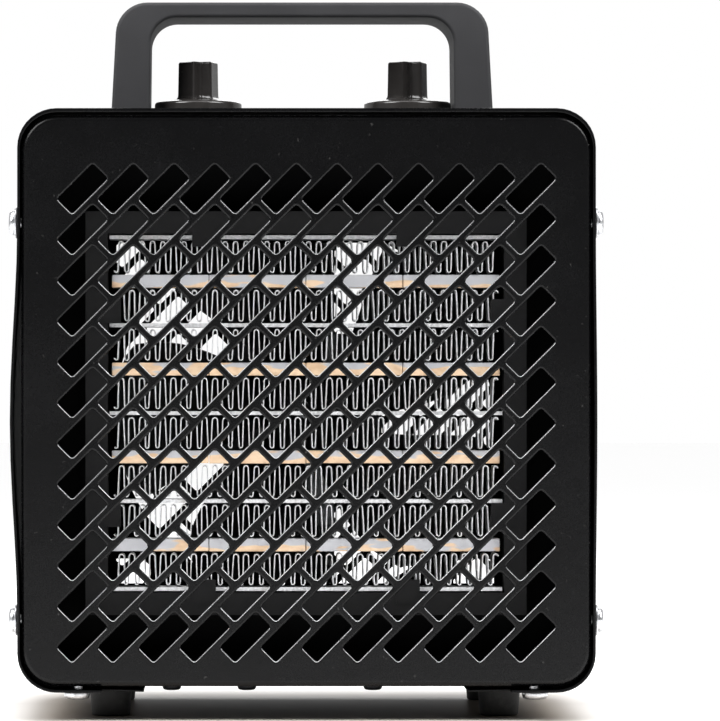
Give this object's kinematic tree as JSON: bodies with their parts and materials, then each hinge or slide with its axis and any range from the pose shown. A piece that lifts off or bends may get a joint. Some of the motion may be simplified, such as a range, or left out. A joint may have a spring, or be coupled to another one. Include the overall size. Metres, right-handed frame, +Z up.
{
  "type": "ceramic space heater",
  "caption": "Square free-standing ceramic fan heater: slotted steel front, bracket handle, rotary thermostat and switch knobs on top, rubber feet, fan and ceramic element inside.",
  "frame": {"origin": "on the floor, under the middle of the heater's bounding box", "axes": "+Z up, the front panel faces -Y, +X is to the right as seen from the front"},
  "size_m": [0.2012, 0.166, 0.2472],
  "materials": {
    "cabinet_coating": "matt black powder coat",
    "inner_sheet": "galvanised",
    "zinc_screws": "bright zinc plate",
    "dark_screws": "black oxide",
    "element_aluminium": "mill",
    "ceramic_blocks": "matt, with adhesive smears",
    "handle_moulding": "fine moulded texture",
    "knob_moulding": "gloss",
    "holder_moulding": "moulded",
    "fan_moulding": "moulded",
    "rubber_feet": "matt",
    "turned_steel": "turned",
    "motor_steel": "lacquered laminations",
    "white_block": "white glaze"
  },
  "bodies": {
    "cabinet": {"air_duct": "cabinet_coating", "baffle_plate": "cabinet_coating", "base_plate": "cabinet_coating", "base_screw_1": "dark_screws", "base_screw_2": "dark_screws", "base_screw_3": "dark_screws", "bottom_plate": "element_aluminium", "ceramic_bar_1": "ceramic_blocks", "ceramic_bar_2": "ceramic_blocks", "ceramic_bar_3": "ceramic_blocks", "ceramic_bar_4": "ceramic_blocks", "cord_bushing": "holder_moulding", "element_frame": "holder_moulding", "fin_row_1": "element_aluminium", "fin_row_2": "element_aluminium", "fin_row_3": "element_aluminium", "fin_row_4": "element_aluminium", "fin_row_5": "element_aluminium", "fin_row_6": "element_aluminium", "fin_row_7": "element_aluminium", "fin_row_8": "element_aluminium", "flange_screw_front_left": "zinc_screws", "flange_screw_front_right": "zinc_screws", "flange_screw_rear_left": "zinc_screws", "flange_screw_rear_right": "zinc_screws", "foot_front_left": "rubber_feet", "foot_front_right": "rubber_feet", "foot_rear_left": "rubber_feet", "foot_rear_right": "rubber_feet", "front_panel": "cabinet_coating", "handle": "handle_moulding", "handle_screw_left": "zinc_screws", "handle_screw_right": "zinc_screws", "middle_plate_1": "element_aluminium", "middle_plate_2": "element_aluminium", "middle_plate_3": "element_aluminium", "motor_body": "motor_steel", "motor_bracket": "inner_sheet", "outer_shell": "cabinet_coating", "rear_panel": "cabinet_coating", "side_screw_front_left_lower": "zinc_screws", "side_screw_front_left_upper": "zinc_screws", "side_screw_front_right_lower": "zinc_screws", "side_screw_front_right_upper": "zinc_screws", "side_screw_rear_left_lower": "zinc_screws", "side_screw_rear_left_upper": "zinc_screws", "side_screw_rear_right_lower": "zinc_screws", "side_screw_rear_right_upper": "zinc_screws", "switch_body": "holder_moulding", "terminal_block": "white_block", "thermal_cutout": "holder_moulding", "thermostat_body": "holder_moulding", "top_plate": "element_aluminium"},
    "fan": {"fan_impeller": "fan_moulding", "motor_shaft": "turned_steel"},
    "thermostat_dial": {"thermostat_knob": "knob_moulding", "thermostat_spindle": "turned_steel"},
    "switch_dial": {"switch_knob": "knob_moulding", "switch_spindle": "turned_steel"}
  },
  "joints": [
    {"name": "fan_spin", "type": "hinge", "parent": "cabinet", "child": "fan", "pos_m": [0, -0.0256, 0.1038], "axis": [0, -1, 0], "continuous": true},
    {"name": "thermostat_turn", "type": "hinge", "parent": "cabinet", "child": "thermostat_dial", "pos_m": [-0.0369, -0.003, 0.2076], "axis": [0, 0, -1], "range_deg": [0, 300]},
    {"name": "switch_turn", "type": "hinge", "parent": "cabinet", "child": "switch_dial", "pos_m": [0.0369, -0.003, 0.2076], "axis": [0, 0, -1], "range_deg": [0, 270]}
  ]
}
